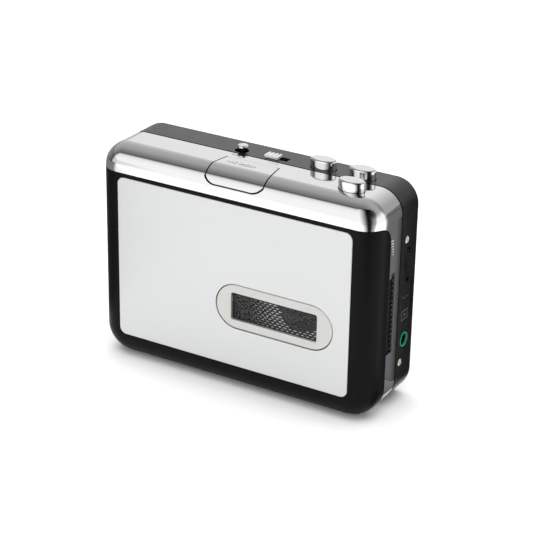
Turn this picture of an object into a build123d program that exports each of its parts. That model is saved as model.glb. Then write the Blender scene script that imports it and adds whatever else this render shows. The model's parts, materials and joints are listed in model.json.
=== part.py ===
from build123d import *
import math
import os

# Portable auto-reverse cassette player, millimetres.
# X is the width, right positive. The lid faces -Y. Z is up, from the long edge it stands on.
# The origin is on that edge, at mid width and mid depth.

# overall body
width = 114.0
height = 82.5
front_y = -15.85           # black lid frame; the silver panel stands 0.15 proud of it
back_y = 16.0
corner_r = 11.0            # lower corners seen from the front
top_corner_r = 8.8         # upper corners
front_r = 8.0              # rounding of the lid and top shoulder
back_r = 1.5
wall = 1.6
seam = 0.3                 # gap between lid and chrome frame

# seams along the depth
lid_back_y = -5.15
frame_back_y = 2.6
cover_front_y = 3.3
lid_top_z = 72.85
lid_top_r = 6.5            # rounding where the lid's side meets its top

# lid hinge, along X
hinge_y = -8.6
hinge_z = 5.0
lip_r = 5.0
corner_lip_r = 3.8
lip_half = 49.3            # the lip is round over this half length
pin_r = 0.75

# lid panel and window
lid_wall = 1.55
panel_x = 48.0
panel_z0 = 9.2
panel_z1 = 71.5
panel_y0 = -16.0
panel_y1 = -15.2
panel_corner = 2.8
panel_mid = (panel_z0 + panel_z1) / 2
panel_h = panel_z1 - panel_z0
window_x = 17.9
window_z = 32.8
bezel_w = 47.2
bezel_h = 16.8
bezel_gap = 0.35
window_w = 35.1
window_h = 10.6

# cassette drive: hubs 42.5 apart, capstans above them, tape edge upwards
hub_x = 21.25
hub_z = 31.4
gear_module = 0.5
hub_teeth = 32
idler_teeth = 34
pinion_teeth = 12
idler_z = hub_z + gear_module * (hub_teeth + idler_teeth) / 2
capstan_z = idler_z + gear_module * (idler_teeth + pinion_teeth) / 2
capstan_r = 1.0
bush_r = 2.2
shaft_r = 0.8              # every fixed post and pin of the drive
running = 0.05             # radial clearance of every shaft in its hole
floor_y0 = -3.0
floor_y1 = -2.0
gear_y0 = -1.9
gear_y1 = -0.7
chassis_y0 = -0.6
chassis_y1 = 0.0
deck_x = 49.8
deck_z0 = 4.0
deck_z1 = 72.5
lug_z = (12.0, 49.0)
lug_screw_x = 46.5

# flywheels, motor and belt
fly_r = 10.6
belt_in_r = 10.0
belt_t = 0.9
fly_y0 = 8.6
fly_y1 = 12.0
belt_y0 = 9.8
belt_y1 = 10.8
motor_x = -42.0
motor_z = 61.5
motor_r = 9.0
motor_screw_x = 6.0
pulley_r = 3.0

# pinch arms and head
arm_x = 34.0
arm_z = 66.0
roller_x = 21.25
roller_z = 70.2
roller_r = 4.0

# two AA cells, end to end across the back
cell_r = 7.1
cell_len = 50.5
cell_y = 7.9
cell_z = 37.0
bay_z0 = 29.7
bay_z1 = 44.3
bay_wall = 0.9
bay_x0 = -53.6
bay_x1 = 51.2
cover_z0 = 27.1
cover_z1 = 46.9
cover_x0 = -52.0

# controls on the top edge
key_w = 9.8
key_d = 6.3
key_round = 0.7
end_share = 0.36           # end radius of an oval, as a share of its depth
key_top = 86.15
keys = {"stop": (23.4, 7.2), "forward": (39.1, 6.8), "rewind": (41.2, -5.0)}
play_root_y = -1.5
play_half = 11.6
play_root_half = 10.4
play_gap = 0.5

# right side
grip_z0 = 23.6
grip_z1 = 52.6
grip_floor_x = 55.5
grip_back_y = -0.6
grip_ribs = 15
hook_x = 56.4              # shallow step at the top of the grip
hook_y = -3.4
hook_z1 = grip_z1 + 1.8
grip_pitch = 1.85
ring_r = 2.75
ring_hole_r = 2.3
ring_x0 = 56.5
ring_x1 = 57.15
wheel_x = 50.6
wheel_y = 9.0
wheel_z = 53.35
wheel_r = 7.9
jack_y = 8.5
jack_z = 24.6
jack_r = 1.8
side_screws_yz = [(7.7, 63.1), (6.6, 16.1)]

# small parts inside
usb_z = 23.0
knob_x = -9.0
knob_y = 6.3
knob_r = 1.95
board_screw_x = (-30.0, 30.0)
board_screw_z = 8.5
deck_screw_x = 46.0
deck_screw_z = (8.5, 69.5)
sled_post_x = 10.0
sled_post_z = 66.0
sled_travel = 3.4


def block(x0, x1, y0, y1, z0, z1):
    return Pos((x0 + x1) / 2, (y0 + y1) / 2, (z0 + z1) / 2) * Box(x1 - x0, y1 - y0, z1 - z0)


def rod_y(x, z, y0, y1, r):
    return Pos(x, (y0 + y1) / 2, z) * Rot(90, 0, 0) * Cylinder(r, y1 - y0)


def rod_x(y, z, x0, x1, r):
    return Pos((x0 + x1) / 2, y, z) * Rot(0, 90, 0) * Cylinder(r, x1 - x0)


def rod_z(x, y, z0, z1, r):
    return Pos(x, y, (z0 + z1) / 2) * Cylinder(r, z1 - z0)


def on_front(shape, y0, y1):
    # a flat shape drawn in X and Z, thickened from y0 to y1
    return extrude(Plane.XZ.offset(-y1) * shape, amount=y1 - y0)


def slab(x, z, w, h, r, y0, y1):
    return on_front(Pos(x, z) * RectangleRounded(w, h, r), y0, y1)


def oval_z(x, y, w, d, z0, z1):
    # an oval of four arcs that run into each other
    end_r = end_share * d
    side_r = ((w / 2 - end_r) ** 2 + d ** 2 / 4 - end_r ** 2) / (d - 2 * end_r)
    lift = side_r - d / 2
    tx = side_r * (w / 2 - end_r) / (side_r - end_r)
    ty = side_r * lift / (side_r - end_r) - lift
    line = ThreePointArc((-tx, ty), (0, d / 2), (tx, ty)) + ThreePointArc((tx, ty), (w / 2, 0), (tx, -ty))
    line += ThreePointArc((tx, -ty), (0, -d / 2), (-tx, -ty))
    line += ThreePointArc((-tx, -ty), (-w / 2, 0), (-tx, ty))
    return extrude(Pos(x, y, z0) * make_face(line), amount=z1 - z0)


def mirrored(shape):
    return mirror(shape, about=Plane.YZ)


def envelope(inset):
    z_mid = height / 2
    face = Rectangle(width - 2 * inset, height - 2 * inset)
    face = fillet(face.vertices().group_by(Axis.Y)[0], corner_r - inset)
    face = fillet(face.vertices().group_by(Axis.Y)[-1], top_corner_r - inset)
    body = on_front(Pos(0, z_mid) * face, front_y + inset, back_y - inset)
    front_edges = body.faces().sort_by(Axis.Y)[0].edges()
    body = fillet(front_edges, front_r - inset)
    back_edges = body.faces().sort_by(Axis.Y)[-1].edges()
    return fillet(back_edges, max(back_r - inset, 0.2))


def lid_zone(gap):
    # the part of the body that swings with the lid, widened by the seam gap
    back = lid_back_y + gap
    top = lid_top_z + gap
    zone = block(-60, 60, -20, back, hinge_z, top)
    edge = zone.edges().filter_by(Axis.X).sort_by(lambda e: e.center().Y + e.center().Z)[-1]
    zone = fillet(edge, lid_top_r + gap)
    zone += block(-60, 60, -20, hinge_y, -1, hinge_z)
    half = lip_half + (1.4 if gap else 0)
    mid = rod_x(hinge_y, hinge_z, -half, half, lip_r + gap)
    ends = rod_x(hinge_y, hinge_z, -60, 60, corner_lip_r + gap)
    if not gap:
        ends &= block(-60, 60, -20, back, -1, 20)
    swing = (mid + ends) & block(-60, 60, hinge_y, 0, -1, hinge_z)
    if gap:
        # room above the hinge line for the round ends of the lip
        swing += ends & block(-60, 60, hinge_y, 0, hinge_z, 2 * hinge_z)
    return zone + swing


def gear_face(teeth, phase):
    pitch_r = gear_module * teeth / 2
    tip, root = pitch_r + 0.38, pitch_r - 0.55
    step = 2 * math.pi / teeth
    points = []
    for k in range(teeth):
        mid = math.radians(phase) + k * step
        for share, r in ((-0.24, root), (-0.09, tip), (0.09, tip), (0.24, root)):
            a = mid + share * step
            points.append((r * math.cos(a), r * math.sin(a)))
    return make_face(Polyline(*points, close=True))


def gear(x, z, teeth, phase):
    return on_front(Pos(x, z) * gear_face(teeth, phase), gear_y0, gear_y1)


def coil(x, y, z0, z1, r, turns, wire):
    rise = z1 - z0 - 2 * wire
    path = Pos(x, y, z0 + wire) * Helix(pitch=rise / turns, height=rise, radius=r)
    start = Plane(origin=path @ 0, z_dir=path % 0)
    return sweep(start * Circle(wire), path=path, is_frenet=True)


outer = envelope(0)
inner = envelope(wall)
shell = outer - inner
parts = {}


def make_lid():
    lid = (outer - envelope(lid_wall)) & lid_zone(0)
    lid -= slab(0, panel_mid, 2 * panel_x + 0.2, panel_h + 0.2, panel_corner, -20, panel_y1)
    lid -= on_front(Pos(window_x, window_z) * SlotOverall(bezel_w - 2.6, bezel_h - 2.6), -20, -10)
    ear = rod_x(hinge_y, hinge_z, 51.9, 53.6, 2.0) + block(51.9, 53.6, hinge_y - 2, hinge_y, 2.0, hinge_z)
    notch = block(50.2, 51.9, hinge_y - 2.6, 0, -1, 7.5)
    for side in (1, -1):
        turn = (lambda s: s) if side == 1 else mirrored
        lid -= turn(notch)
        lid += turn(ear & outer)
        lid -= turn(rod_x(hinge_y, hinge_z, 51, 53.3, pin_r + running))
    # ribs that keep the cassette square behind the panel
    for x in (-40, -14, 48):
        lid += block(x - 0.5, x + 0.5, front_y + lid_wall - 0.1, -13.95, 12, 66)
    return lid


parts["cassette_door"] = make_lid()

panel = slab(0, panel_mid, 2 * panel_x, panel_h, panel_corner - 0.1, panel_y0, panel_y1)
panel = chamfer(panel.faces().sort_by(Axis.Y)[0].edges(), 0.15)
opening = SlotOverall(bezel_w + 2 * bezel_gap, bezel_h + 2 * bezel_gap)
panel -= on_front(Pos(window_x, window_z) * opening, -20, -10)
parts["door_panel"] = panel

bezel = on_front(Pos(window_x, window_z) * SlotOverall(bezel_w, bezel_h), panel_y0, panel_y1)
bezel = fillet(bezel.faces().sort_by(Axis.Y)[0].edges(), 0.45)
bezel += on_front(Pos(window_x, window_z) * SlotOverall(bezel_w - 2.7, bezel_h - 2.7), panel_y1, -14.9)
bezel -= slab(window_x, window_z, window_w, window_h, 0.8, -20, -10)
parts["window_bezel"] = bezel
lens = on_front(Pos(window_x, window_z) * SlotOverall(bezel_w - 2.8, bezel_h - 2.8), -14.9, -14.3)
parts["window_lens"] = lens + slab(window_x, window_z, window_w - 0.1, window_h - 0.1, 0.75, -15.75, -14.9)


def make_hold_springs():
    # two bent leaf springs riveted inside the lid, which press on the cassette
    springs = Part()
    for x in (-33.0, 33.0):
        foot = block(x - 3, x + 3, -14.3, -14.0, 58, 66)
        leaf = Pos(x, -13.55, 53.2) * Rot(5.2, 0, 0) * Box(6, 0.3, 10)
        springs += foot + leaf
    return springs


parts["cassette_springs"] = make_hold_springs()

pins = rod_x(hinge_y, hinge_z, 50.3, 53.2, pin_r)
parts["hinge_pins"] = pins + mirrored(pins)


def play_outline(gap):
    # key outline in X and Z for the shoulder; wide at the front, narrower at its root
    bottom = 77.3 - gap
    half = play_half + gap
    line = Polyline((-half, 90), (-half, 79.6 - gap))
    line += ThreePointArc((-half, 79.6 - gap), (-half * 0.82, bottom + 0.55), (-half * 0.55, bottom))
    line += Line((-half * 0.55, bottom), (half * 0.55, bottom))
    line += ThreePointArc((half * 0.55, bottom), (half * 0.82, bottom + 0.55), (half, 79.6 - gap))
    line += Polyline((half, 79.6 - gap), (half, 90), (-half, 90))
    return make_face(line)


def play_zone(gap, root_gap):
    front = on_front(play_outline(gap), -20, play_root_y + root_gap)
    # seen from above the sides draw in towards the root
    side = [(play_half + gap + 1, -20), (play_half + gap, -9)]
    side.append((play_root_half + gap, play_root_y + root_gap))
    plan = Polyline(*side, *[(-x, y) for x, y in reversed(side)], close=True)
    return front & extrude(Pos(0, 0, 70) * make_face(plan), amount=20)


def make_frame():
    frame = shell & block(-60, 60, -20, frame_back_y, -1, 90)
    frame -= lid_zone(seam)
    # thicker wall behind the finger grip on the right
    frame += block(54.3, 55.6, -4.85, 1.3, grip_z0 - 2.6, grip_z1 + 3.4)
    frame -= block(grip_floor_x, 60, -6, grip_back_y, grip_z0, grip_z1)
    frame -= block(hook_x, 60, hook_y, grip_back_y, grip_z1, hook_z1)
    # opening for the key that stands on the chrome
    x, y = keys["rewind"]
    frame -= oval_z(x, y, key_w + 0.5, key_d + 0.5, 70, 90)
    # slot round the play key; below it the wall is bevelled so that the key can sink
    frame -= play_zone(play_gap, 0.06)
    for angle, depth in ((4, 0.25), (8, 0.7)):
        sunk = Pos(0, -play_root_y, -height) * play_zone(play_gap, 0.0)
        frame -= Pos(0, play_root_y, height) * Rot(angle, 0, 0) * sunk & envelope(depth)
    # lugs for the chassis screws, tabs for the side screws, ears for the lid's hinge
    ear = rod_x(hinge_y, hinge_z, 50.5, 51.6, 1.8)
    ear += block(50.5, 51.6, hinge_y, 1.0, hinge_z - 1.8, hinge_z + 1.8)
    ear += block(50.5, 51.6, -4.0, 1.0, 2.2, hinge_z)
    ear -= rod_x(hinge_y, hinge_z, 50, 52, pin_r)
    half = ear
    for z in lug_z:
        lug = block(44.8, 55.6, chassis_y1, 1.3, z - 2, z + 2)
        half += lug - rod_y(lug_screw_x, z, -1, 3, 0.7)
    for y, z in side_screws_yz:
        tab = block(53.2, 55.6, -1.8, 2.9, z - 1.8, z + 1.8)
        tab += block(53.2, 55.2, 2.5, y + 2.2, z - 1.8, z + 1.8)
        half += tab - rod_x(y, z, 50, 57, 0.8)
    return frame + half + mirrored(half)


parts["mid_frame"] = make_frame()


def make_grip():
    # dark ribbed pad in the finger grip
    pad = block(grip_floor_x, grip_floor_x + 0.5, -4.85, grip_back_y, grip_z0, grip_z1)
    pad += block(grip_floor_x, 56.85, grip_back_y - 0.35, grip_back_y, grip_z0, grip_z1)
    pad += block(hook_x, hook_x + 0.2, hook_y, grip_back_y, grip_z1 - 0.3, hook_z1)
    for k in range(grip_ribs):
        z = grip_z0 + 1.6 + grip_pitch * k
        pad += block(grip_floor_x, 56.75, -2.1, grip_back_y, z - 0.45, z + 0.45)
    return pad


parts["grip_pad"] = make_grip()

key_shell = (outer - envelope(1.2)) & play_zone(0, -0.02)
bevel = Pos(0, play_root_y, height) * Rot(10, 0, 0) * block(-20, 20, 0, 5, -5, 0.5)
parts["play_key"] = key_shell - bevel


def make_rear():
    cover = shell & block(-60, 60, cover_front_y, 20, -1, 90)
    # lip that slips inside the chrome frame and shows as the dark line between them
    lip = (envelope(wall + 0.1) - envelope(wall + 1.1)) & block(-60, 60, 1.5, cover_front_y + 0.1, -1, 90)
    lip += (envelope(wall - 0.1) - envelope(wall + 1.1)) & block(-60, 60, cover_front_y, 4.5, -1, 90)
    lip -= block(16, 46, 0, 5, 78, 80.85)
    for y, z in side_screws_yz:
        lip -= block(52, 55.4, 0, 5, z - 2.1, z + 2.1) + block(-55.4, -52, 0, 5, z - 2.1, z + 2.1)
    cover += lip
    # battery bay, open to the back
    bay_walls = block(bay_x0 - 1.2, bay_x1 + 1.2, 0.1, 14.45, bay_z0 - bay_wall, bay_z1 + bay_wall)
    bay_walls += block(-55.6, 55.6, cover_front_y + 0.1, 12.0, bay_z0 - bay_wall, bay_z1 + bay_wall)
    bay_walls += block(-54.8, 55.6, 13.2, 14.45, cover_z0 - 1.0, cover_z1 + 1.0)
    bay_walls -= block(bay_x0, bay_x1, 0.7, 20, bay_z0, bay_z1)
    bay_walls -= block(bay_x1 + 1.2, 60, 0, 20, bay_z0, bay_z1)
    bay_walls -= block(bay_x1 + 1.2, 60, 12.0, 20, bay_z0 - 5, bay_z1 + 5)
    cover -= block(cover_x0 - 0.15, 60, 12.1, 20, cover_z0, cover_z1)
    cover += bay_walls
    # posts for the board screws
    for x in board_screw_x:
        cover += rod_y(x, board_screw_z, 5.6, 14.5, 2.2) - rod_y(x, board_screw_z, 5, 11, 0.6)
    # openings: direction knob, mode slider, two keys, volume wheel, jack, data socket, side screws
    cover -= oval_z(knob_x - 0.4, knob_y, 5.4, 4.9, 75, 90)
    cover -= block(0.2, 9.6, 5.2, 8.4, 79, 90)
    for name in ("stop", "forward"):
        x, y = keys[name]
        cover -= oval_z(x, y, key_w + 0.5, key_d + 0.5, 79, 90)
    cover -= block(50, 60, wheel_y - 1.2, wheel_y + 1.2, 46.8, 59.9)
    cover -= rod_x(jack_y, jack_z, 50, 60, ring_r + 0.05)
    cover -= block(-60, -50, 5.4, 9.9, usb_z - 4.15, usb_z + 4.15)
    for y, z in side_screws_yz:
        hole = rod_x(y, z, 50, 60, 0.85) + rod_x(y, z, 56.1, 60, 1.65)
        cover -= hole + mirrored(hole)
    return cover


def both_sides(shape):
    return shape + mirrored(shape)


def make_battery_cover():
    cover = (outer - envelope(1.45)) & block(cover_x0, 60, 12.3, 20, cover_z0 + 0.15, cover_z1 - 0.15)
    # thinner over the cells, and a finger gap in the side edge
    cover -= block(bay_x0, bay_x1, 14, cell_y + cell_r + 0.1, bay_z0, bay_z1)
    # thumb grooves and an arrow that shows which way it slides
    for k in range(6):
        x = 34.0 + 2.2 * k
        cover -= block(x, x + 0.9, back_y - 0.35, 20, cell_z - 5.5, cell_z + 5.5)
    arrow = make_face(Polyline((26.5, cell_z - 3), (31, cell_z), (26.5, cell_z + 3), close=True))
    cover -= on_front(arrow, back_y - 0.3, 20)
    return cover - block(50, 60, 12, 12.8, 32.3, 60)


def make_floor():
    floor = block(-deck_x, deck_x, floor_y0, floor_y1, 3.6, 8.0)
    floor += block(-54.1, 54.1, floor_y0, floor_y1, 8.0, deck_z1)
    half = rod_y(hub_x, hub_z, -5, 0, 6.0) + rod_y(hub_x, capstan_z, -5, 0, 1.7)
    half += block(17.2, 25.2, -5, 0, 62.2, 80)
    floor -= both_sides(half) + block(-8.2, 8.2, -5, 0, 61.5, 80)
    for z in deck_screw_z:
        spacer = rod_y(deck_screw_x, z, floor_y1, chassis_y0, 2.0)
        floor += both_sides(spacer)
        bore = rod_y(deck_screw_x, z, -5, 0, 0.6) + rod_y(deck_screw_x, z, -5, floor_y0 + 0.6, 1.35)
        floor -= both_sides(bore)
    peg = rod_y(40.0, 57.0, -8.0, floor_y0, 1.4)
    peg = chamfer(peg.faces().sort_by(Axis.Y)[0].edges(), 0.6)
    return floor + both_sides(peg)


def make_chassis():
    plate = block(-deck_x, deck_x, chassis_y0, chassis_y1, deck_z0, deck_z1)
    holes = rod_y(hub_x, capstan_z, -2, 2, bush_r)
    for x, z in ((hub_x, hub_z), (hub_x, idler_z), (arm_x, arm_z), (sled_post_x, sled_post_z)):
        holes += rod_y(x, z, -2, 2, shaft_r)
    for z in lug_z:
        holes += rod_y(lug_screw_x, z, -2, 2, 0.7)
    for z in deck_screw_z:
        holes += rod_y(deck_screw_x, z, -2, 2, 0.6)
    plate -= both_sides(holes)
    for dx in (-motor_screw_x, motor_screw_x):
        plate -= rod_y(motor_x + dx, motor_z, -2, 2, 0.7)
    return plate


def make_posts():
    posts = rod_y(hub_x, hub_z, -9.8, chassis_y1, shaft_r)
    for x, z in ((hub_x, idler_z), (arm_x, arm_z), (sled_post_x, sled_post_z)):
        posts += rod_y(x, z, floor_y1 + 0.02, chassis_y1, shaft_r)
    return both_sides(posts)


def make_spindle(side):
    x = side * hub_x
    body = gear(x, hub_z, hub_teeth, 90) + rod_y(x, hub_z, -3.6, gear_y0, 5.4)
    shaft = rod_y(x, hub_z, -10.8, -3.6, 2.6)
    body += chamfer(shaft.faces().sort_by(Axis.Y)[0].edges(), 1.2)
    for turn in (90, 210, 330):
        fin = block(-0.6, 0.6, -9.2, -3.6, 0, 4.2)
        body += Pos(x, 0, hub_z) * Rot(0, turn, 0) * fin
    return body - rod_y(x, hub_z, -9.9, 0, shaft_r + running)


def make_idler(side):
    x = side * hub_x
    wheel = gear(x, idler_z, idler_teeth, -90 + 180 / idler_teeth)
    return wheel - rod_y(x, idler_z, -5, 5, shaft_r + running)


def make_flywheel(side):
    x = side * hub_x
    wheel = rod_y(x, capstan_z, fly_y0, belt_y0 - 0.1, fly_r)
    wheel += rod_y(x, capstan_z, belt_y0 - 0.1, belt_y1 + 0.1, belt_in_r - running)
    wheel += rod_y(x, capstan_z, belt_y1 + 0.1, fly_y1, fly_r)
    wheel -= rod_y(x, capstan_z, fly_y0 - 1, fly_y0 + 0.8, 8.4) - rod_y(x, capstan_z, 0, 20, 3.4)
    wheel += rod_y(x, capstan_z, 6.4, fly_y0 + 1, 2.6)
    return wheel - rod_y(x, capstan_z, -13, 14, capstan_r)


def make_capstan(side):
    x = side * hub_x
    shaft = rod_y(x, capstan_z, -12.4, 13.0, capstan_r)
    shaft = chamfer(shaft.faces().sort_by(Axis.Y)[0].edges(), 0.3)
    return shaft + gear(x, capstan_z, pinion_teeth, -90)


def strap(stops):
    # outline round circles given as x, z and radius, joined by their common tangents
    shape = Sketch()
    for x, z, r in stops:
        shape += Pos(x, z) * Circle(r)
    for (x0, z0, r0), (x1, z1, r1) in zip(stops, stops[1:]):
        span = math.hypot(x1 - x0, z1 - z0)
        lean = math.acos((r0 - r1) / span)
        line = math.atan2(z1 - z0, x1 - x0)
        points = []
        for cx, cz, r, side in ((x0, z0, r0, 1), (x1, z1, r1, 1), (x1, z1, r1, -1), (x0, z0, r0, -1)):
            points.append((cx + r * math.cos(line + side * lean), cz + r * math.sin(line + side * lean)))
        shape += make_face(Polyline(*points, close=True))
    return shape


def belt_loop(grow):
    # outline round the motor pulley and both flywheels
    wheels = [(-hub_x, capstan_z, belt_in_r + grow), (hub_x, capstan_z, belt_in_r + grow)]
    return strap([(motor_x, motor_z, pulley_r + grow)] + wheels)


def make_pulley():
    pulley = rod_y(motor_x, motor_z, 7.2, 12.0, 0.75)
    pulley += rod_y(motor_x, motor_z, 9.2, belt_y0 - 0.1, 3.9)
    pulley += rod_y(motor_x, motor_z, belt_y0 - 0.1, belt_y1 + 0.1, pulley_r - running)
    return pulley + rod_y(motor_x, motor_z, belt_y1 + 0.1, 11.5, 3.9)


def make_motor():
    motor = rod_y(motor_x, motor_z, 0.0, 9.0, motor_r)
    motor = fillet(motor.faces().sort_by(Axis.Y)[-1].edges(), 0.8)
    motor -= rod_y(motor_x, motor_z, 7.0, 12, 0.8)
    for dx in (-motor_screw_x, motor_screw_x):
        motor -= rod_y(motor_x + dx, motor_z, -1, 2.2, 0.7)
    return motor


def make_bracket():
    bracket = block(-27, 38, 12.4, 13.2, 53, 66)
    for side in (1, -1):
        bracket -= rod_y(side * hub_x, capstan_z, 10, 15, capstan_r + running)
    for x, z in ((0, 55.0), (0, 64.5), (35.5, capstan_z)):
        bracket += rod_y(x, z, chassis_y1, 12.5, 1.4)
    return bracket


def make_arm():
    # lever from its pivot to the roller's pin, narrower at the roller
    shape = strap([(arm_x, arm_z, 2.6), (roller_x, roller_z, 1.5)])
    arm = on_front(shape, -1.7, -0.9) - rod_y(arm_x, arm_z, -5, 5, shaft_r + running)
    return arm + rod_y(roller_x, roller_z, -11.6, -1.0, shaft_r)


def make_sled():
    sled = block(-13, 13, -1.7, -0.9, 61.5, 73.5)
    for side in (1, -1):
        x = side * sled_post_x
        slot = block(x - 0.85, x + 0.85, -3, 1, sled_post_z, sled_post_z + sled_travel)
        slot += rod_y(x, sled_post_z, -3, 1, 0.85) + rod_y(x, sled_post_z + sled_travel, -3, 1, 0.85)
        sled -= slot
    return sled


def make_head():
    head = block(-6.3, 6.3, -12.7, -2.9, 66.6, 73.0)
    head = fillet(head.faces().sort_by(Axis.Z)[0].edges().filter_by(Axis.Y), 1.2)
    head -= block(-5.2, 5.2, -20, 0, 60, 66.9) & block(-5.2, 5.2, -10.3, -5.1, 60, 66.9)
    return head + block(-5.0, 5.0, -3.0, -1.7, 67.5, 72.0)


def make_key(name):
    x, y = keys[name]
    cap = oval_z(x, y, key_w, key_d, 80.6, key_top)
    cap = fillet(cap.faces().sort_by(Axis.Z)[-1].edges(), key_round)
    cap += oval_z(x, y, key_w + 1.8, key_d + 1.5, 79.0, 80.7)
    return cap + block(x - 1.5, x + 1.5, y - 1.5, y + 1.5, 73.0, 79.1)


def make_guide():
    # plate under the keys, standing on the chassis
    plate = block(-17, 50, 3.6, 10.9, 73.4, 74.4) + block(35.5, 50, -8.6, 3.6, 73.4, 74.4)
    plate += block(-6, 6, 0.0, 3.7, 69.6, 74.4) + block(34.8, 44.5, 0.0, 3.7, 69.6, 74.4)
    for x, y in keys.values():
        plate -= block(x - 1.6, x + 1.6, y - 1.6, y + 1.6, 70, 76)
    return plate


def make_mode_cap():
    cap = block(0.7, 6.0, 4.8, 8.6, height + 0.12, height + 0.5)
    for k in range(4):
        x = 0.7 + 1.5 * k
        cap += block(x, x + 0.8, 4.8, 8.6, height + 0.4, height + 0.95)
    return cap + block(1.4, 5.2, 5.6, 8.0, 77.5, height + 0.2)


def make_knob():
    cap = rod_z(0, 0, 84.0, 84.75, knob_r)
    cap = fillet(cap.faces().sort_by(Axis.Z)[-1].edges(), 0.5)
    cap += Pos(0, 0, 83.4) * Cone(1.0, knob_r, 1.2)
    cap += rod_z(0, 0, 77.8, 83.2, 0.9)
    return Pos(knob_x, knob_y, 0) * cap


def make_wheel():
    count = 44
    points = []
    for k in range(count):
        for share, r in ((-0.3, wheel_r), (0.1, wheel_r), (0.2, wheel_r - 0.35), (0.6, wheel_r - 0.35)):
            a = 2 * math.pi * (k + share) / count
            points.append((wheel_x + r * math.cos(a), wheel_z + r * math.sin(a)))
    wheel = on_front(make_face(Polyline(*points, close=True)), wheel_y - 1, wheel_y + 1)
    return wheel - rod_y(wheel_x, wheel_z, 0, 20, 1.0 + running)


def make_components():
    group = Part()
    chips = ((-20, 16, 9, 9, 1.4), (4, 18, 6, 5, 1.2), (18, 12, 5, 4, 1.2), (-36, 12, 5, 3.5, 1.6))
    for x, z, w, h, t in chips:
        group += block(x - w / 2, x + w / 2, 5.6, 5.6 + t, z - h / 2, z + h / 2)
    for x, z in ((-6, 12), (12, 22), (24, 20), (36, 12)):
        group += fillet(rod_y(x, z, 5.6, 11.0, 2.2).faces().sort_by(Axis.Y)[-1].edges(), 0.4)
    for k in range(8):
        x = -44 + 10.5 * k
        group += block(x - 0.8, x + 0.8, 3.9, 4.4, 22.0, 23.0)
    return group


def make_cell(x):
    cell = rod_x(cell_y, cell_z, x, x + cell_len - 1.0, cell_r)
    cell = fillet(cell.edges().filter_by(GeomType.CIRCLE), 0.5)
    return cell + rod_x(cell_y, cell_z, x + cell_len - 1.1, x + cell_len, 2.7)


parts["rear_cover"] = make_rear()
parts["battery_cover"] = make_battery_cover()
parts["well_floor"] = make_floor()
trim = slab(18, 31.2, 52, 25.2, 2, floor_y0 - 0.3, floor_y0)
parts["well_trim"] = trim - rod_y(hub_x, hub_z, -5, 0, 7.2)
parts["chassis"] = make_chassis()
parts["drive_posts"] = make_posts()
for side, name in ((-1, "left"), (1, "right")):
    parts[f"spindle_{name}"] = make_spindle(side)
    parts[f"idler_gear_{name}"] = make_idler(side)
    parts[f"capstan_{name}"] = make_capstan(side)
    parts[f"flywheel_{name}"] = make_flywheel(side)
bush = rod_y(hub_x, capstan_z, chassis_y0, 6.2, bush_r)
bush -= rod_y(hub_x, capstan_z, -5, 10, capstan_r + running)
parts["capstan_bearings"] = both_sides(bush)
parts["flywheel_bracket"] = make_bracket()
parts["motor"] = make_motor()
parts["motor_pulley"] = make_pulley()
parts["drive_belt"] = on_front(belt_loop(belt_t) - belt_loop(0), belt_y0, belt_y1)
arm = make_arm()
roller = rod_y(roller_x, roller_z, -11.0, -4.4, roller_r)
roller -= rod_y(roller_x, roller_z, -20, 0, shaft_r + running)
parts["pinch_arm_right"] = arm
parts["pinch_arm_left"] = mirrored(arm)
parts["pinch_roller_right"] = roller
parts["pinch_roller_left"] = mirrored(roller)
parts["head_sled"] = make_sled()
parts["tape_head"] = make_head()
for name, (x, y) in keys.items():
    parts[f"{name}_key"] = make_key(name)
    parts[f"{name}_spring"] = coil(x, y, 74.4, 79.0, 2.6, 4.5, 0.22)
parts["key_guide"] = make_guide()
parts["switch_board"] = block(-16, 13, 3.8, 10.6, 74.4, 75.2)
body = block(knob_x - 3.6, knob_x + 3.2, 3.9, 8.9, 75.2, 79.2)
parts["direction_switch"] = body - rod_z(knob_x, knob_y, 76.4, 80, 0.9 + running)
parts["direction_knob"] = make_knob()
parts["mode_switch"] = block(-0.8, 10.6, 4.4, 9.2, 75.2, 79.4) - block(1.2, 8.9, 5.5, 8.1, 77.3, 80)
parts["mode_slider"] = make_mode_cap()
parts["volume_board"] = block(37, 52.4, 5.2, 6.2, 46.4, 60.6)
pot = rod_y(wheel_x, wheel_z, 6.2, 7.6, 4.4) + rod_y(wheel_x, wheel_z, 7.5, 10.7, 1.0)
parts["volume_pot"] = pot
parts["volume_wheel"] = make_wheel()
board = block(-50, 50, 4.4, 5.6, 5, 28)
for x in board_screw_x:
    board -= rod_y(x, board_screw_z, 0, 9, 0.6)
parts["main_board"] = board
parts["board_components"] = make_components()
jack = block(43, 55.2, 5.6, 11.3, jack_z - 2.9, jack_z + 2.9)
parts["headphone_jack"] = jack - rod_x(jack_y, jack_z, 43.5, 60, jack_r)
ring = rod_x(jack_y, jack_z, ring_x0, ring_x1, ring_r)
parts["jack_ring"] = ring - rod_x(jack_y, jack_z, 50, 60, ring_hole_r)
socket = block(-56.2, -48.2, 5.6, 9.6, usb_z - 3.85, usb_z + 3.85)
socket -= block(-60, -49.5, 6.2, 9.1, usb_z - 3.3, usb_z + 3.3)
parts["usb_socket"] = socket + block(-55.4, -49.4, 7.3, 8.0, usb_z - 2.4, usb_z + 2.4)
parts["battery_cells"] = make_cell(-50.8) + make_cell(-0.2)
contacts = block(-53.55, -53.25, 2, 13, bay_z0 + 1, bay_z1 - 1)
contacts += block(50.6, 51.0, 2, 13, bay_z0 + 1, bay_z1 - 1)
cell_spring = Pos(-53.2, cell_y, cell_z) * Rot(0, 90, 0) * coil(0, 0, 0, 2.3, 3.4, 2.5, 0.3)
parts["battery_contacts"] = contacts + cell_spring
group = Part()
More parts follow.
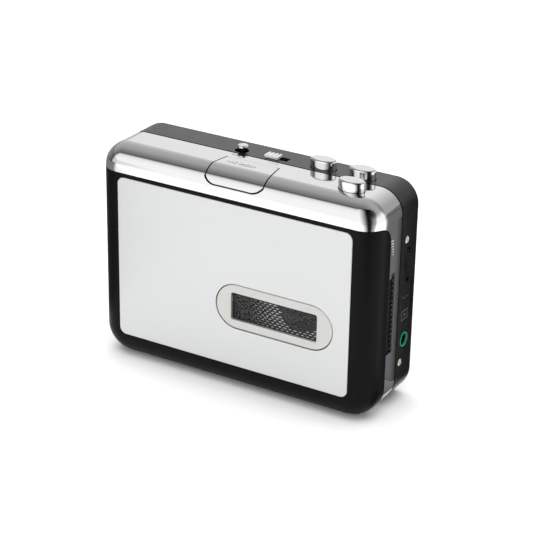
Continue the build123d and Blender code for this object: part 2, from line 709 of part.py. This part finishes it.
for y, z in side_screws_yz:
    head = rod_x(y, z, 56.1, 56.85, 1.4)
    head = fillet(head.faces().sort_by(Axis.X)[-1].edges(), 0.25)
    head -= block(56.5, 60, y - 0.9, y + 0.9, z - 0.18, z + 0.18)
    head -= block(56.5, 60, y - 0.18, y + 0.18, z - 0.9, z + 0.9)
    group += both_sides(head + rod_x(y, z, 53.2, 56.1, 0.8))
parts["side_screws"] = group
group = Part()
for z in lug_z:
    group += rod_y(lug_screw_x, z, -1.3, chassis_y0, 1.4) + rod_y(lug_screw_x, z, chassis_y0, 1.3, 0.7)
lug_screws = both_sides(group)
group = Part()
for z in deck_screw_z:
    group += rod_y(deck_screw_x, z, floor_y0, floor_y0 + 0.6, 1.3)
    group += rod_y(deck_screw_x, z, floor_y0 + 0.6, 0, 0.6)
parts["floor_screws"] = both_sides(group)
group = Part()
for dx in (-motor_screw_x, motor_screw_x):
    group += rod_y(motor_x + dx, motor_z, -1.3, chassis_y0, 1.4)
    group += rod_y(motor_x + dx, motor_z, chassis_y0, 1.3, 0.7)
parts["chassis_screws"] = lug_screws + group
group = Part()
for x in board_screw_x:
    group += rod_y(x, board_screw_z, 3.7, 4.4, 1.3) + rod_y(x, board_screw_z, 4.4, 10.0, 0.6)
parts["board_screws"] = group

os.makedirs("parts", exist_ok=True)
for name, shape in parts.items():
    print(name, len(shape.solids()), round(shape.volume, 1))
    export_step(shape, f"parts/{name}.step")
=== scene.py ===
import json
import math
import bpy
from mathutils import Matrix, Vector


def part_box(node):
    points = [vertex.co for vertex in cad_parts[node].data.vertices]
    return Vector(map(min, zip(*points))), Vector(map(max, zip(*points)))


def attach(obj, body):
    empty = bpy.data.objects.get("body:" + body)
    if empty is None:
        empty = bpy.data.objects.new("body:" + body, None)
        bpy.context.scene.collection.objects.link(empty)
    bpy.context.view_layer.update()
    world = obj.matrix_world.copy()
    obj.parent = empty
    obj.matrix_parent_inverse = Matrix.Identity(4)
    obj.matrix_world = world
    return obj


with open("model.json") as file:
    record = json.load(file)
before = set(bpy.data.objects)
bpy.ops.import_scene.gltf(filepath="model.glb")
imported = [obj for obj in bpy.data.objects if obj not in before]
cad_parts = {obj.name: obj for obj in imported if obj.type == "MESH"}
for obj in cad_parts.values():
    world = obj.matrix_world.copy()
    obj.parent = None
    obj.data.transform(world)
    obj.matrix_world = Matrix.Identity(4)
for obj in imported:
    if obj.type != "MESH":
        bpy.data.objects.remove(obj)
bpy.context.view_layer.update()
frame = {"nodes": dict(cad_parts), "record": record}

mm = 0.001  # one millimetre in metres
nodes = frame["nodes"]
print("frame loaded,", len(nodes), "nodes")


def pickNone():
    bpy.ops.object.select_all(action="DESELECT")


def pickOne(thing):
    pickNone()
    thing.select_set(True)
    bpy.context.view_layer.objects.active = thing


def applyAll(thing):
    pickOne(thing)
    for mod in list(thing.modifiers):
        bpy.ops.object.modifier_apply(modifier=mod.name)


def settle(thing):
    # the place goes into the mesh, so that the object sits at the origin
    pickOne(thing)
    bpy.ops.object.transform_apply(location=True, rotation=True, scale=True)


def roundOff(thing, width, segments=2, angle=30):
    mod = thing.modifiers.new("edges", "BEVEL")
    mod.width = width * mm
    mod.segments = segments
    mod.limit_method = "ANGLE"
    mod.angle_limit = math.radians(angle)
    applyAll(thing)


def smooth(thing, angle=35):
    pickOne(thing)
    bpy.ops.object.shade_smooth_by_angle(angle=math.radians(angle))


def centreOf(node):
    low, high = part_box(node)
    return (low + high) / 2


def place(thing, name, body, material):
    thing.name = name
    thing.data.materials.clear()
    thing.data.materials.append(material)
    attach(thing, body)
    return thing


def joinAll(things):
    pickNone()
    for thing in things:
        thing.select_set(True)
    bpy.context.view_layer.objects.active = things[0]
    bpy.ops.object.join()
    return bpy.context.object


class Wire:
    # one output of a node tree; sums on wires add Math nodes
    def __init__(self, maker, socket):
        self.maker = maker
        self.socket = socket

    def math(self, operation, *others):
        return self.maker.node("Math", {"operation": operation}, dict(enumerate((self, *others))))

    def __add__(self, other):
        return self.math("ADD", other)

    __radd__ = __add__

    def __mul__(self, other):
        return self.math("MULTIPLY", other)

    __rmul__ = __mul__

    def __sub__(self, other):
        return self.math("SUBTRACT", other)

    def __rsub__(self, other):
        return self.maker.node("Math", {"operation": "SUBTRACT"}, {0: other, 1: self})

    def __truediv__(self, other):
        return self.math("DIVIDE", other)

    def __rtruediv__(self, other):
        return self.maker.node("Math", {"operation": "DIVIDE"}, {0: other, 1: self})

    def __pow__(self, other):
        return self.math("POWER", other)

    def __lt__(self, other):
        return self.math("LESS_THAN", other)

    def clamp(self):
        return self.math("MAXIMUM", 0.0).math("MINIMUM", 1.0)


class Maker:
    # builds one material or world tree
    def __init__(self, holder):
        self.holder = holder
        holder.use_nodes = True
        self.tree = holder.node_tree
        self.tree.nodes.clear()

    def node(self, kind, settings=None, inputs=None, out=0):
        made = self.tree.nodes.new("ShaderNode" + kind)
        for key, value in (settings or {}).items():
            if key == "stops":
                ramp = made.color_ramp
                while len(ramp.elements) < len(value):
                    ramp.elements.new(0.5)
                for stop, (at, level) in zip(ramp.elements, value):
                    stop.position = at
                    stop.color = rgb(grey(level))
            else:
                setattr(made, key, value)
        for key, value in (inputs or {}).items():
            socket = made.inputs[key]
            if isinstance(value, Wire):
                self.tree.links.new(value.socket, socket)
            elif value is not None:
                socket.default_value = value
        return Wire(self, made.outputs[out])

    def output(self, wire, kind="Material"):
        end = self.tree.nodes.new("ShaderNodeOutput" + kind)
        self.tree.links.new(wire.socket, end.inputs["Surface"])

    def place(self, scale=1.0, stretch=(1, 1, 1)):
        spot = self.node("TexCoord", out=3)
        return self.node("Mapping", {}, {0: spot, 3: tuple(scale * s for s in stretch)})

    def noise(self, size, detail=2.0, rough=0.5, stretch=(1, 1, 1)):
        # cloudy values from 0 to 1, with blobs about size millimetres across
        where = self.place(1 / (size * mm), stretch)
        values = {"Vector": where, "Scale": 1.0, "Detail": detail, "Roughness": rough}
        return self.node("TexNoise", {}, values)

    def blend(self, share, first, second):
        return self.node("Mix", {"data_type": "RGBA"}, {0: share, 6: rgb(first), 7: rgb(second)}, out=2)

    def bump(self, height, depth, strength=1.0):
        # depth is in millimetres
        return self.node("Bump", {}, {"Strength": strength, "Distance": depth * mm, "Height": height})

    def finish(self, **values):
        inputs = {key.replace("_", " "): rgb(value) for key, value in values.items()}
        self.output(self.node("BsdfPrincipled", {}, inputs))
        return self.holder


def rgb(value):
    if isinstance(value, (tuple, list)) and len(value) == 3:
        return (*value, 1.0)
    return value


def grey(level):
    return (level, level, level)


def newMaterial(name):
    return Maker(bpy.data.materials.new(name))


chromeFinish = {
    "bright": (0.86, 0.86, 0.87), "dull": (0.80, 0.80, 0.81),
    "rough": 0.045, "hazeRough": 0.05,
    "hazeSize": 9.0, "fineSize": 0.35, "waveSize": 14.0,  # millimetres
    "fineShare": 0.02, "waveDepth": 0.02, "waveStrength": 0.25,
}


def makeChrome():
    m = newMaterial("mirrorChrome")
    haze = m.noise(chromeFinish["hazeSize"], 3.0)
    fine = m.noise(chromeFinish["fineSize"], 2.0)
    colour = m.blend(haze, chromeFinish["bright"], chromeFinish["dull"])
    rough = chromeFinish["rough"] + chromeFinish["hazeRough"] * haze ** 2.0
    ripple = m.noise(chromeFinish["waveSize"], 1.0) + chromeFinish["fineShare"] * fine
    wave = m.bump(ripple, chromeFinish["waveDepth"], chromeFinish["waveStrength"])
    return m.finish(Base_Color=colour, Metallic=1.0, Roughness=rough, Normal=wave)


plasticFinishes = {
    # name: colour, lighter colour, roughness, grain size mm, grain depth mm
    "matteBlack": ((0.005, 0.005, 0.0055), (0.009, 0.009, 0.0095), 0.28, 0.22, 0.004),
    "satinBlack": ((0.003, 0.003, 0.0033), (0.005, 0.005, 0.0053), 0.30, 0.30, 0.003),
    "innerBlack": ((0.014, 0.014, 0.015), (0.022, 0.022, 0.023), 0.42, 0.35, 0.006),
    "whiteNylon": ((0.72, 0.71, 0.66), (0.80, 0.79, 0.75), 0.45, 0.5, 0.004),
    "bezelGrey": ((0.515, 0.515, 0.495), (0.55, 0.55, 0.53), 0.30, 0.4, 0.002),
    "silverPlastic": ((0.62, 0.62, 0.62), (0.70, 0.70, 0.70), 0.28, 0.25, 0.003),
    "greenRing": ((0.015, 0.26, 0.13), (0.03, 0.34, 0.18), 0.22, 0.6, 0.002),
    "chipBlack": ((0.016, 0.016, 0.016), (0.03, 0.03, 0.03), 0.55, 0.2, 0.008),
    "rubber": ((0.020, 0.020, 0.020), (0.034, 0.033, 0.032), 0.75, 0.18, 0.01),
    "markGrey": ((0.10, 0.10, 0.105), (0.13, 0.13, 0.135), 0.5, 0.2, 0.004),
    "printCream": ((0.62, 0.60, 0.52), (0.70, 0.68, 0.60), 0.6, 0.2, 0.002),
}

plasticSheen = {"satinBlack": 0.07, "innerBlack": 0.25, "matteBlack": 0.95}  # the others have 0.5
plasticCloud = {"size": 7.0, "share": 0.6, "rough": 0.12}  # soft patches in a moulded surface
plasticPits = {"share": 0.4, "rough": 0.05}  # its grain


def makePlastic(name):
    colour, lighter, rough, grain, depth = plasticFinishes[name]
    m = newMaterial(name)
    cloud = m.noise(plasticCloud["size"], 3.0)
    pits = m.noise(grain, 3.0, 0.6)
    share = (cloud * plasticCloud["share"] + pits * plasticPits["share"]).clamp()
    tone = m.blend(share, colour, lighter)
    least = rough - plasticCloud["rough"] / 2
    gloss = least + plasticCloud["rough"] * cloud + plasticPits["rough"] * pits
    sheen = plasticSheen.get(name, 0.5)
    return m.finish(Base_Color=tone, Roughness=gloss, Normal=m.bump(pits, depth), Specular_IOR_Level=sheen)


metalFinishes = {
    # name: colour, darker colour, roughness, stretch of the fine lines
    "zincSteel": ((0.62, 0.62, 0.63), (0.48, 0.48, 0.50), 0.34, (1, 1, 1)),
    "polishedSteel": ((0.72, 0.72, 0.73), (0.60, 0.60, 0.61), 0.16, (1, 9, 1)),
    "brass": ((0.90, 0.83, 0.68), (0.78, 0.70, 0.54), 0.42, (1, 1, 1)),
    "springSteel": ((0.66, 0.66, 0.67), (0.52, 0.52, 0.53), 0.28, (1, 1, 4)),
    "cellWrap": ((0.35, 0.37, 0.40), (0.28, 0.30, 0.33), 0.35, (1, 1, 1)),
    "brightFoil": ((0.10, 0.10, 0.105), (0.07, 0.07, 0.073), 0.35, (1, 1, 1)),
    "padBright": ((0.97, 0.97, 0.98), (0.90, 0.90, 0.91), 0.15, (1, 1, 1)),
}
metalShare = {"brass": 0.35}  # the others are all metal
metalCloud = {"size": 5.0, "share": 0.7, "rough": 0.08}  # soft patches
metalLines = {"size": 0.25, "share": 0.3, "rough": 0.08, "depth": 0.004}  # fine grain


def makeMetal(name):
    colour, darker, rough, stretch = metalFinishes[name]
    m = newMaterial(name)
    cloud = m.noise(metalCloud["size"], 3.0)
    lines = m.noise(metalLines["size"], 2.0, 0.5, stretch)
    share = (cloud * metalCloud["share"] + lines * metalLines["share"]).clamp()
    gloss = rough - 0.05 + metalCloud["rough"] * cloud + metalLines["rough"] * lines
    return m.finish(
        Base_Color=m.blend(share, colour, darker),
        Metallic=metalShare.get(name, 1.0),
        Roughness=gloss,
        Normal=m.bump(lines, metalLines["depth"]),
    )


panelFinish = {
    "light": (0.615, 0.62, 0.623), "dark": (0.59, 0.595, 0.598),
    "metallic": 0.35, "coat": 0.25,
    "rough": 0.34, "flakeRough": 0.08, "flakeDepth": 0.002,
    "cloudSize": 40.0, "cloudShare": 0.7, "flakeSize": 0.12, "flakeShare": 0.3,
}


def makePanel():
    m = newMaterial("silverPanel")
    cloud = m.noise(panelFinish["cloudSize"], 2.0)
    flakes = m.noise(panelFinish["flakeSize"], 1.0)
    share = (cloud * panelFinish["cloudShare"] + flakes * panelFinish["flakeShare"]).clamp()
    return m.finish(
        Base_Color=m.blend(share, panelFinish["light"], panelFinish["dark"]),
        Metallic=panelFinish["metallic"],
        Roughness=panelFinish["rough"] + panelFinish["flakeRough"] * flakes,
        Normal=m.bump(flakes, panelFinish["flakeDepth"]),
        Coat_Weight=panelFinish["coat"],
    )


lensFinish = {
    "tint": (0.05, 0.05, 0.052), "coat": 0.6, "hazeSize": 6.0,
    "rough": 0.03, "hazeRough": 0.04, "cover": 0.17, "hazeCover": 0.03,
}


def makeLens():
    m = newMaterial("smokedLens")
    haze = m.noise(lensFinish["hazeSize"], 2.0)
    return m.finish(
        Base_Color=lensFinish["tint"],
        Roughness=lensFinish["rough"] + lensFinish["hazeRough"] * haze,
        Alpha=lensFinish["cover"] + lensFinish["hazeCover"] * haze,
        Coat_Weight=lensFinish["coat"],
    )


boardFinish = {
    "laminate": (0.03, 0.20, 0.09), "track": (0.015, 0.10, 0.045),
    "cell": 2.4, "trackWide": 0.08, "trackHigh": 0.02, "uneven": 0.6,
    "rough": 0.35, "cloudRough": 0.1, "cloudSize": 3.0,
}


def makeBoard():
    # laminate with tracks that run between its cells
    m = newMaterial("circuitBoard")
    where = m.place(1 / (boardFinish["cell"] * mm))
    values = {"Vector": where, "Scale": 1.0, "Randomness": boardFinish["uneven"]}
    cells = m.node("TexVoronoi", {"feature": "DISTANCE_TO_EDGE"}, values)
    track = (cells < boardFinish["trackWide"]).clamp()
    return m.finish(
        Base_Color=m.blend(track, boardFinish["track"], boardFinish["laminate"]),
        Roughness=boardFinish["rough"] + boardFinish["cloudRough"] * m.noise(boardFinish["cloudSize"]),
        Normal=m.bump(track, boardFinish["trackHigh"]),
    )


ownFinish = {
    "chrome": makeChrome,
    "silver_panel": makePanel,
    "smoked_lens": makeLens,
    "circuit_board": makeBoard,
}
plasticSlots = {
    "matte_black": "matteBlack",
    "satin_black": "satinBlack",
    "inner_black": "innerBlack",
    "white_nylon": "whiteNylon",
    "bezel_grey": "bezelGrey",
    "silver_plastic": "silverPlastic",
    "green_ring": "greenRing",
    "chip_black": "chipBlack",
    "rubber": "rubber",
}
metalSlots = {
    "zinc_steel": "zincSteel",
    "polished_steel": "polishedSteel",
    "brass": "brass",
    "spring_steel": "springSteel",
    "cell_wrap": "cellWrap",
    "bright_foil": "brightFoil",
}
finishes = {slot: make() for slot, make in ownFinish.items()}
finishes.update({slot: makePlastic(name) for slot, name in plasticSlots.items()})
finishes.update({slot: makeMetal(name) for slot, name in metalSlots.items()})
slotOf = {row["node"]: row["material_slot"] for row in frame["record"]["subparts"]}
for name, node in nodes.items():
    for part in node.material_slots:
        part.material = finishes[slotOf[name]]
extraFinish = {
    "padBright": makeMetal("padBright"),
    "markGrey": makePlastic("markGrey"),
    "printCream": makePlastic("printCream"),
}
print("finishes made")


# raised lozenges on the plate in the cassette well, in millimetres and degrees
lattice = {
    "pitch": (2.1, 2.0),  # steps across and up; a second set stands half a step on
    "half": (0.90, 0.47),  # half the width and height of one lozenge
    "depth": 0.36, "round": 0.12, "sunk": 0.02,
    "lean": 28,  # how far its face looks up
    "edge": (1.3, 0.9),  # the first one's place from the plate's corner
    "spare": (2.2, 1.8),  # the room left free at the sides, both together
    "clear": 8.4,  # radius of the free round at the hub
}


def makeLattice():
    low, high = (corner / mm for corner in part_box("well_trim"))
    pitchX, pitchZ = lattice["pitch"]
    edgeX, edgeZ = lattice["edge"]
    spareX, spareZ = lattice["spare"]
    pickNone()
    bpy.ops.mesh.primitive_cylinder_add(
        vertices=4, radius=mm, depth=lattice["depth"] * mm,
        rotation=(math.radians(90), 0, 0), location=(0, 0, 0),
    )
    pad = bpy.context.object
    pickOne(pad)
    bpy.ops.object.transform_apply(location=False, rotation=True, scale=False)
    pad.scale = (lattice["half"][0], 1, lattice["half"][1])
    settle(pad)
    roundOff(pad, lattice["round"])
    pad.rotation_euler = (math.radians(-lattice["lean"]), 0, 0)
    pad.location = ((low.x + edgeX) * mm, (low.y - lattice["sunk"]) * mm, (low.z + edgeZ) * mm)
    settle(pad)
    pickOne(pad)
    bpy.ops.object.duplicate()
    other = bpy.context.object
    other.location = (pitchX / 2 * mm, 0, pitchZ / 2 * mm)
    settle(other)
    field = joinAll([pad, other])
    perPad = len(field.data.vertices) // 2
    counts = int((high.x - low.x - spareX) / pitchX), int((high.z - low.z - spareZ) / pitchZ)
    for count, step in zip(counts, ((pitchX * mm, 0, 0), (0, 0, pitchZ * mm))):
        mod = field.modifiers.new("row", "ARRAY")
        mod.count = count
        mod.use_relative_offset = False
        mod.use_constant_offset = True
        mod.constant_offset_displace = step
    applyAll(field)
    # the lozenges within the free round at the hub go
    hub = centreOf("spindle_right") / mm
    pickOne(field)
    bpy.ops.object.mode_set(mode="EDIT")
    bpy.ops.mesh.select_all(action="DESELECT")
    bpy.ops.mesh.select_mode(type="VERT")
    bpy.ops.object.mode_set(mode="OBJECT")
    points = field.data.vertices
    for start in range(0, len(points), perPad):
        mine = [points[k] for k in range(start, start + perPad)]
        centre = sum((p.co for p in mine), Vector()) / perPad / mm
        if math.hypot(centre.x - hub.x, centre.z - hub.z) < lattice["clear"]:
            for p in mine:
                p.select = True
    bpy.ops.object.mode_set(mode="EDIT")
    bpy.ops.mesh.delete(type="VERT")
    bpy.ops.object.mode_set(mode="OBJECT")
    smooth(field, 40)
    return place(field, "wellLattice", "case", extraFinish["padBright"])


marks = {"thick": 0.035, "round": 0.012, "lift": 0.01}  # of every printed mark, in millimetres


def addStroke(x, y, z, w, d, h):
    # one bar of a printed or raised mark, in millimetres
    pickNone()
    bpy.ops.mesh.primitive_cube_add(size=1, location=(x * mm, y * mm, z * mm))
    thing = bpy.context.object
    thing.scale = (w * mm, d * mm, h * mm)
    settle(thing)
    return thing


def addTriangle(x, y, z, radius, thick, turn=0.0):
    # a flat three-sided plate, whose point faces +X before it is turned
    pickNone()
    bpy.ops.mesh.primitive_cylinder_add(
        vertices=3, radius=radius * mm, depth=thick * mm, location=(0, 0, 0)
    )
    thing = bpy.context.object
    facing = Matrix.Rotation(math.radians(turn - 90), 4, "Z")
    thing.matrix_world = Matrix.Translation((x * mm, y * mm, z * mm)) @ facing
    settle(thing)
    return thing


# an arrow with three bars at each side, raised on the play key
playMark = {
    "x": -2.5, "y": -5.4, "arrow": 1.5, "thick": 0.22, "sunk": 0.03, "round": 0.09,
    "bars": 3, "bar": 0.8, "first": 2.3, "step": 1.5, "long": 2.6, "less": 0.6,
}


def makePlayMark():
    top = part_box("play_key")[1].z / mm
    x, y, thick = playMark["x"], playMark["y"], playMark["thick"]
    z = top + thick / 2 - playMark["sunk"]
    strokes = [addTriangle(x, y, z, playMark["arrow"], thick)]
    for side in (-1, 1):
        for k in range(playMark["bars"]):
            length = playMark["long"] - playMark["less"] * k
            along = x + side * (playMark["first"] + playMark["step"] * k)
            strokes.append(addStroke(along, y, z, playMark["bar"], length, thick))
    mark = joinAll(strokes)
    roundOff(mark, playMark["round"])
    smooth(mark)
    return place(mark, "playMark", "play", finishes["chrome"])


# printed signs on the chrome: two arrows about a line by the knob, and growing bars by the slider
topMarks = {
    "y": 1.2, "arrow": 0.62, "apart": 0.9, "line": (0.25, 1.2),
    "bars": 4, "first": 1.6, "step": 1.1, "bar": 0.28, "short": 0.5, "grow": 0.22,
}


def makeTopMarks():
    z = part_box("mid_frame")[1].z / mm + marks["lift"]
    knob = centreOf("direction_knob") / mm
    slider = centreOf("mode_slider") / mm
    y, apart, thick = topMarks["y"], topMarks["apart"], marks["thick"]
    strokes = [
        addTriangle(knob.x - apart, y, z, topMarks["arrow"], thick, 180),
        addTriangle(knob.x + apart, y, z, topMarks["arrow"], thick),
        addStroke(knob.x, y, z, *topMarks["line"], thick),
    ]
    for k in range(topMarks["bars"]):
        along = slider.x + topMarks["first"] + topMarks["step"] * k
        length = topMarks["short"] + topMarks["grow"] * k
        strokes.append(addStroke(along, y, z, topMarks["bar"], length, thick))
    mark = joinAll(strokes)
    roundOff(mark, marks["round"], 1)
    return place(mark, "topMarks", "case", extraFinish["markGrey"])


# printed dashes on the side strip, which grow towards the louder end
volumeScale = {"low": 61.5, "step": 1.05, "y": -2.7, "short": 0.6, "long": 2.1, "count": 6, "wide": 0.32}


def makeVolumeScale():
    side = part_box("mid_frame")[1].x / mm + marks["lift"]
    growth = (volumeScale["long"] - volumeScale["short"]) / (volumeScale["count"] - 1)
    strokes = []
    for k in range(volumeScale["count"]):
        length = volumeScale["short"] + growth * k
        y = volumeScale["y"] - length / 2
        z = volumeScale["low"] + volumeScale["step"] * k
        strokes.append(addStroke(side, y, z, marks["thick"], length, volumeScale["wide"]))
    mark = joinAll(strokes)
    roundOff(mark, marks["round"], 1)
    return place(mark, "volumeScale", "case", extraFinish["printCream"])


# a printed frame with a dot over the headphone jack, and two dashes above it
sideMarks = {
    "y": (5.9, 10.5), "z": (32.7, 36.0), "line": 0.26, "dot": 0.9,
    "dash": 1.1, "dashApart": 1.1, "dashUp": 5.2,
}


def makeSideMarks():
    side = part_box("rear_cover")[1].x / mm + marks["lift"]
    (y0, y1), (z0, z1) = sideMarks["y"], sideMarks["z"]
    y, z = (y0 + y1) / 2, (z0 + z1) / 2
    line, dot, thick = sideMarks["line"], sideMarks["dot"], marks["thick"]
    strokes = [addStroke(side, y, edge, thick, y1 - y0, line) for edge in (z0, z1)]
    for edge in (y0 + line / 2, y1 - line / 2):
        strokes.append(addStroke(side, edge, z, thick, line, z1 - z0 - line))
    strokes.append(addStroke(side, y, z, thick, dot, dot))
    for shift in (-sideMarks["dashApart"], sideMarks["dashApart"]):
        strokes.append(addStroke(side, y + shift, z1 + sideMarks["dashUp"], thick, sideMarks["dash"], line))
    mark = joinAll(strokes)
    roundOff(mark, marks["round"], 1)
    return place(mark, "sideMarks", "case", extraFinish["markGrey"])


for make in (makeLattice, makePlayMark, makeTopMarks, makeVolumeScale, makeSideMarks):
    piece = make()
    print("made", piece.name, len(piece.data.polygons), "faces")


view = {
    "place": (0.312435, -0.519467, 0.315800),  # metres
    "azimuth": 30.47, "elevation": 24.42, "roll": 1.09,  # degrees
    "lens": 123.23, "sensor": 36, "nearest": 0.01,
}


def makeCamera():
    azimuth, elevation, roll = (math.radians(view[key]) for key in ("azimuth", "elevation", "roll"))
    flat = math.cos(elevation)
    back = Vector((math.sin(azimuth) * flat, -math.cos(azimuth) * flat, math.sin(elevation)))
    right = Vector((math.cos(azimuth), math.sin(azimuth), 0))
    up = back.cross(right)
    across = math.cos(roll) * right + math.sin(roll) * up
    over = -math.sin(roll) * right + math.cos(roll) * up
    turn = Matrix((across, over, back)).transposed().to_4x4()
    data = bpy.data.cameras.new("camera")
    data.lens = view["lens"]
    data.sensor_width = view["sensor"]
    data.clip_start = view["nearest"]
    camera = bpy.data.objects.new("camera", data)
    bpy.context.scene.collection.objects.link(camera)
    camera.matrix_world = Matrix.Translation(view["place"]) @ turn
    bpy.context.scene.camera = camera


room = {
    "strength": 1.0,
    # brightness against the direction's y, from the front round to the back
    "sweep": (
        (-1.0, 1.15), (-0.68, 1.06), (-0.56, 0.95), (-0.50, 0.80),
        (-0.45, 0.42), (-0.42, 0.12), (-0.37, 0.12), (-0.30, 0.20),
        (-0.12, 0.27), (0.10, 0.39), (0.31, 0.44), (0.50, 0.48),
        (0.66, 0.60), (0.735, 0.68), (0.765, 0.90), (1.0, 0.95),
    ),
    # the far right corner is dimmer: where it starts in x and y, how fast it comes in, and how dim it gets
    "dimFrom": (-0.35, 0.4), "dimGain": (1.3, 4.0), "dimShare": 0.56,
    # a bright side to the right, low down: its edges in x and z, how sharp they are, and its brightness
    "sideFrom": (0.62, 0.6), "sideGain": (8.0, 4.0), "sideLevel": 1.1,
}


def makeWorld():
    world = bpy.data.worlds.new("studio")
    bpy.context.scene.world = world
    w = Maker(world)
    way = w.node("TexCoord", out=0)
    x, y, z = (w.node("SeparateXYZ", {}, {0: way}, out=k) for k in range(3))
    stops = [((at + 1) / 2, level) for at, level in room["sweep"]]  # a ramp runs from 0 to 1
    sweep = w.node("ValToRGB", {"stops": stops}, {0: y * 0.5 + 0.5})
    dimX, dimY = room["dimFrom"]
    gainX, gainY = room["dimGain"]
    shade = ((x - dimX) * gainX).clamp() * ((y - dimY) * gainY).clamp() * room["dimShare"]
    dimmed = w.blend(shade, sweep, grey(0))
    sideX, sideZ = room["sideFrom"]
    gainX, gainZ = room["sideGain"]
    side = ((x - sideX) * gainX).clamp() * ((sideZ - z) * gainZ).clamp()
    lit = w.blend(side, dimmed, grey(room["sideLevel"]))
    w.output(w.node("Background", {}, {"Color": lit, "Strength": room["strength"]}), "World")


# dark cards that only shiny parts mirror, in metres, tilted about X and then turned about Z. The stops give
# how dark a card is along its width, and flare the share of the width in use at one end of its height and
# how much that share grows up to the other.
cards = {
    "dusk": {
        "centre": (0.1385, -0.1104, 0.21), "width": 0.40, "height": 0.42,
        "turn": 30.47, "tilt": 90, "flare": (0.42, 1.1),
        "stops": (
            (0.10, 0.0), (0.20, 0.25), (0.30, 0.6), (0.40, 0.95), (0.46, 1.0),
            (0.57, 0.97), (0.66, 0.78), (0.82, 0.6), (0.91, 0.25), (0.97, 0.0),
        ),
    },
    "edge": {
        "centre": (0.0745, 0.020, 0.0385), "width": 0.035, "height": 0.077,
        "turn": 0, "tilt": 90, "flare": (1.0, 0.0),
        "stops": ((0.0, 0.98), (0.24, 0.96), (0.30, 0.88), (0.5, 0.87), (0.78, 0.5), (1.0, 0.0)),
    },
    "brow": {
        "centre": (0.0745, 0.020, 0.079), "width": 0.035, "height": 0.004,
        "turn": 0, "tilt": 90, "flare": (1.0, 0.0),
        "stops": ((0.0, 0.6), (0.5, 0.55), (0.78, 0.3), (1.0, 0.0)),
    },
    "left": {
        "centre": (-0.085, -0.0125, 0.0385), "width": 0.175, "height": 0.077,
        "turn": 90, "tilt": 90, "flare": (1.0, 0.0),
        "stops": (
            (0.0, 0.0), (0.12, 0.04), (0.2, 0.3), (0.3, 0.84),
            (0.55, 0.84), (0.7, 0.6), (0.85, 0.5), (1.0, 0.42),
        ),
    },
    "leftAbove": {
        "centre": (-0.085, -0.0125, 0.086), "width": 0.175, "height": 0.018,
        "turn": 90, "tilt": 90, "flare": (1.0, 0.0),
        "stops": ((0.0, 0.0), (0.2, 0.3), (0.5, 0.4), (1.0, 0.3)),
    },
    "ground": {
        "centre": (0.0745, 0.005, 0.0003), "width": 0.035, "height": 0.03,
        "turn": 0, "tilt": 0, "flare": (1.0, 0.0),
        "stops": ((0.0, 0.83), (0.5, 0.82), (0.78, 0.5), (1.0, 0.0)),
    },
}


def makeCard(name):
    card = cards[name]
    pickNone()
    bpy.ops.mesh.primitive_plane_add(size=1, location=(0, 0, 0))
    thing = bpy.context.object
    thing.name = name + "Card"
    m = newMaterial(name + "Card")
    spot = m.node("TexCoord", out=3)
    across, along = (m.node("SeparateXYZ", {}, {0: spot}, out=k) for k in range(2))
    least, growth = card["flare"]
    across = across / (least + growth * (along + 0.5))
    cover = m.node("ValToRGB", {"stops": card["stops"]}, {0: (across + 0.5).clamp()})
    dark = m.node("Emission", {}, {"Color": rgb(grey(0.0)), "Strength": 1.0})
    m.output(m.node("MixShader", {}, {0: cover, 1: m.node("BsdfTransparent"), 2: dark}))
    thing.data.materials.append(m.holder)
    turn = Matrix.Rotation(math.radians(card["turn"]), 4, "Z")
    tilt = Matrix.Rotation(math.radians(card["tilt"]), 4, "X")
    size = Matrix.Diagonal((card["width"], card["height"], 1, 1))
    thing.matrix_world = Matrix.Translation(card["centre"]) @ turn @ tilt @ size
    thing.visible_camera = False
    thing.visible_diffuse = False
    thing.visible_shadow = False
    thing.visible_transmission = False


paleFloor = {"across": 6, "tone": 0.93, "darker": 0.99, "cloud": 60.0, "rough": 0.9, "sheen": 0.1}


def makeFloor():
    pickNone()
    bpy.ops.mesh.primitive_plane_add(size=paleFloor["across"], location=(0, 0, 0))
    floor = bpy.context.object
    floor.name = "floor"
    m = newMaterial("paleFloor")
    tone = paleFloor["tone"]
    colour = m.blend(m.noise(paleFloor["cloud"], 2.0), grey(tone), grey(paleFloor["darker"] * tone))
    m.finish(Base_Color=colour, Roughness=paleFloor["rough"], Specular_IOR_Level=paleFloor["sheen"])
    floor.data.materials.append(m.holder)


def hangLamp(name, data):
    # a lamp lights the scene, but the chrome doesn't mirror it
    lamp = bpy.data.objects.new(name, data)
    bpy.context.scene.collection.objects.link(lamp)
    lamp.visible_glossy = False
    return lamp


overhead = {"power": 2.9, "spread": 75, "tilt": (5, 3)}  # a wide soft sun


def makeOverhead():
    data = bpy.data.lights.new("overhead", "SUN")
    data.energy = overhead["power"]
    data.angle = math.radians(overhead["spread"])
    lamp = hangLamp("overhead", data)
    tiltX, tiltY = overhead["tilt"]
    lamp.rotation_euler = (math.radians(-tiltX), math.radians(-tiltY), 0)


front = {"place": (-0.55, -0.9, 0.5), "aim": (0, 0, 0.04), "size": (0.8, 0.6), "power": 0.9}


def makeFront():
    data = bpy.data.lights.new("front", "AREA")
    data.shape = "RECTANGLE"
    data.size, data.size_y = front["size"]
    data.energy = front["power"]
    lamp = hangLamp("front", data)
    lamp.location = front["place"]
    away = Vector(front["place"]) - Vector(front["aim"])
    lamp.rotation_euler = away.to_track_quat("Z", "Y").to_euler()


makeCamera()
makeFloor()
makeWorld()
for name in cards:
    makeCard(name)
makeOverhead()
makeFront()
bpy.context.scene.view_settings.view_transform = "Standard"
print("studio made")
